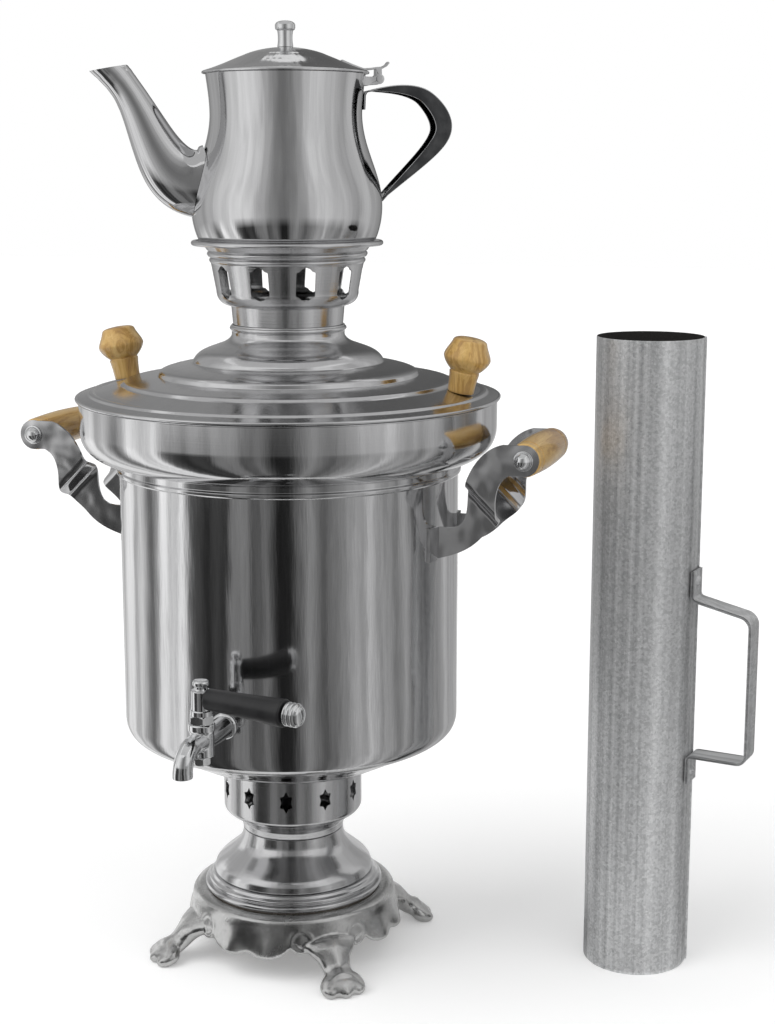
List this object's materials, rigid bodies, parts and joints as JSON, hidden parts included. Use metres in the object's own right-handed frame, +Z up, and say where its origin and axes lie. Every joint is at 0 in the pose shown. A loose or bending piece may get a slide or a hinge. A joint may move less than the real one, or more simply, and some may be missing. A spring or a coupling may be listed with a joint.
{
  "type": "hot water urn",
  "caption": "Fuel-fired hot water urn with draw-off tap, lift-off lid, pierced crown, hinged-lid teapot on top and a lift-off draught pipe beside it.",
  "frame": {"origin": "on the urn's upright axis, at the level its feet stand on", "axes": "+Z up; -Y is the front, where the tap is; +X is to the right seen from the tap, and the draught pipe stands on that side"},
  "size_m": [0.5432, 0.3553, 0.6924],
  "materials": {
    "cast_aluminium": "satin casting",
    "spun_steel": "spun, fine rings",
    "bright_steel": "bright polished",
    "fastener_steel": "plain",
    "fire_steel": "dull",
    "grate_iron": "as cast",
    "chrome": "polished",
    "black_plastic": "satin",
    "gasket_rubber": "matte",
    "nut_brass": "turned",
    "varnished_wood": "varnished",
    "zinc_coated_steel": "zinc-coated sheet"
  },
  "bodies": {
    "urn": {"base_casting": "cast_aluminium", "base_screws": "fastener_steel", "base_nuts": "fastener_steel", "ash_pan": "fire_steel", "base_ring": "spun_steel", "stem_shell": "spun_steel", "neck_band": "spun_steel", "fire_grate": "grate_iron", "firebox": "fire_steel", "tank": "bright_steel", "bowl": "bright_steel", "bracket_left_front": "fastener_steel", "bracket_left_rear": "fastener_steel", "bracket_right_front": "fastener_steel", "bracket_right_rear": "fastener_steel", "grip_left": "varnished_wood", "grip_right": "varnished_wood", "rod_left": "fastener_steel", "rod_right": "fastener_steel", "cap_nuts_left": "fastener_steel", "cap_nuts_right": "fastener_steel", "tap_body": "chrome", "tap_flange": "chrome", "tap_gasket": "gasket_rubber", "tap_locknut": "nut_brass", "tap_gland_nut": "chrome"},
    "lid": {"lid": "bright_steel", "lid_knob_left": "varnished_wood", "lid_knob_right": "varnished_wood", "lid_knob_screws": "fastener_steel"},
    "crown": {"crown": "bright_steel"},
    "teapot": {"pot_body": "bright_steel", "pot_spout": "bright_steel", "pot_handle": "bright_steel", "pot_hinge_bracket": "fastener_steel", "pot_hinge_pin": "fastener_steel"},
    "teapot_lid": {"pot_lid": "bright_steel", "pot_lid_knob": "fastener_steel", "pot_hinge_leaf": "fastener_steel"},
    "tap_key": {"tap_plug": "chrome", "tap_plug_nut": "chrome", "tap_lever_rod": "chrome", "tap_grip": "black_plastic", "tap_end_knob": "chrome"},
    "draught_pipe": {"pipe_tube": "zinc_coated_steel", "pipe_handle": "zinc_coated_steel", "pipe_rivets": "zinc_coated_steel"}
  },
  "joints": [
    {"name": "lid_lift", "type": "slide", "parent": "urn", "child": "lid", "axis": [0, 0, 1], "range_m": [0, 0.12]},
    {"name": "crown_lift", "type": "slide", "parent": "lid", "child": "crown", "axis": [0, 0, 1], "range_m": [0, 0.06]},
    {"name": "teapot_lift", "type": "slide", "parent": "crown", "child": "teapot", "axis": [0, 0, 1], "range_m": [0, 0.15]},
    {"name": "teapot_lid_hinge", "type": "hinge", "parent": "teapot", "child": "teapot_lid", "pos_m": [0.05743, 0.03451, 0.6525], "axis": [-0.515, 0.8572, 0], "range_deg": [0, 70]},
    {"name": "tap_turn", "type": "hinge", "parent": "urn", "child": "tap_key", "pos_m": [0, -0.162, 0.2098], "axis": [0, 0, 1], "range_deg": [-90, 0]},
    {"name": "pipe_lift", "type": "slide", "parent": "urn", "child": "draught_pipe", "axis": [0, 0, 1], "range_m": [0, 0.3]}
  ]
}
